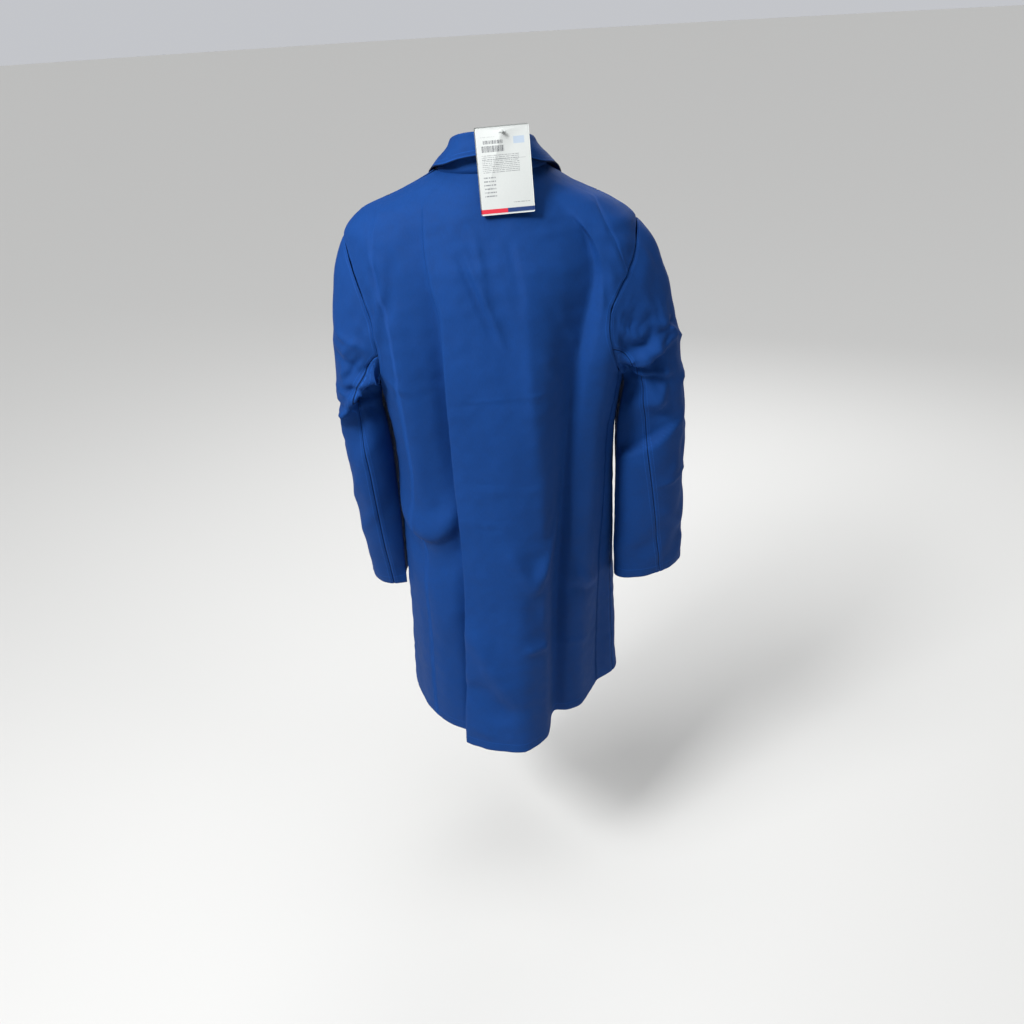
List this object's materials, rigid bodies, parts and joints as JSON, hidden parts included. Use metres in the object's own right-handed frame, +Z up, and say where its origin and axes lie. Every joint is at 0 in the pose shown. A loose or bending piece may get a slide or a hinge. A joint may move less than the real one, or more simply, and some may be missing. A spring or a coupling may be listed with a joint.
{
  "type": "lab coat",
  "caption": "Long-sleeved work and laboratory coat with turned-down collar, lapels, patch pockets and a press-stud front that opens, hanging as worn.",
  "frame": {"origin": "centre of the neck seat, level with the back neck seam, on the wearer's axis", "axes": "+Z up along the wearer's axis, +X to the wearer's left, +Y to the wearer's back, so the front faces -Y"},
  "size_m": [0.6338, 0.3269, 1.0953],
  "materials": {
    "coat_cloth": "royal blue polycotton twill, faint sheen",
    "facing_cloth": "same twill, inside face",
    "stud_metal": "nickel-plated, satin",
    "label_ribbon": "woven satin ribbon, blank",
    "tag_card": "coated card, printed with plain bars",
    "tag_nylon": "clear moulded nylon"
  },
  "bodies": {
    "coat": {"back_panel": "coat_cloth", "side_panel_left": "coat_cloth", "side_panel_right": "coat_cloth", "front_left_upper": "coat_cloth", "front_right_upper": "coat_cloth", "lapel_left": "coat_cloth", "lapel_right": "coat_cloth", "collar_stand": "coat_cloth", "collar_fall": "coat_cloth", "back_neck_facing": "facing_cloth", "neck_label": "label_ribbon", "care_label": "label_ribbon", "tag_anchor": "tag_nylon"},
    "front_left": {"front_left": "coat_cloth", "front_facing_left": "facing_cloth", "press_stud_cap_1": "stud_metal", "press_stud_cap_2": "stud_metal", "press_stud_cap_3": "stud_metal", "press_stud_cap_4": "stud_metal", "press_stud_cap_5": "stud_metal", "pocket_left": "coat_cloth", "pocket_chest": "coat_cloth"},
    "front_right": {"front_right": "coat_cloth", "front_facing_right": "facing_cloth", "press_stud_post_1": "stud_metal", "press_stud_post_2": "stud_metal", "press_stud_post_3": "stud_metal", "press_stud_post_4": "stud_metal", "press_stud_post_5": "stud_metal", "pocket_right": "coat_cloth"},
    "sleeve_left": {"sleeve_left_outer": "coat_cloth", "sleeve_left_under": "coat_cloth"},
    "sleeve_right": {"sleeve_right_outer": "coat_cloth", "sleeve_right_under": "coat_cloth"},
    "hanging_loop": {"hanging_loop": "facing_cloth"},
    "swing_tag": {"swing_tag": "tag_card", "tag_fastener": "tag_nylon"}
  },
  "joints": [
    {"name": "front_left_open", "type": "hinge", "parent": "coat", "child": "front_left", "pos_m": [0.163, -0.109, -0.25], "axis": [-0.0191, 0.0127, 0.9997], "range_deg": [0, 75]},
    {"name": "front_right_open", "type": "hinge", "parent": "coat", "child": "front_right", "pos_m": [-0.163, -0.109, -0.25], "axis": [0.0191, 0.0127, 0.9997], "range_deg": [-52.5, 0]},
    {"name": "sleeve_left_raise", "type": "hinge", "parent": "coat", "child": "sleeve_left", "pos_m": [0.222, 0, -0.086], "axis": [0, -1, 0], "range_deg": [0, 70]},
    {"name": "sleeve_right_raise", "type": "hinge", "parent": "coat", "child": "sleeve_right", "pos_m": [-0.222, 0, -0.086], "axis": [0, 1, 0], "range_deg": [0, 70]},
    {"name": "hanging_loop_flip", "type": "hinge", "parent": "coat", "child": "hanging_loop", "pos_m": [0, 0.0524, -0.005], "axis": [-1, 0, 0], "range_deg": [0, 165]},
    {"name": "swing_tag_lift", "type": "hinge", "parent": "coat", "child": "swing_tag", "pos_m": [-0.017, 0.075, 0.056], "axis": [1, 0, 0], "range_deg": [0, 120]}
  ],
  "couplings": [
    {"joint": "front_right_open", "follows": "front_left_open", "ratio": -0.7}
  ]
}
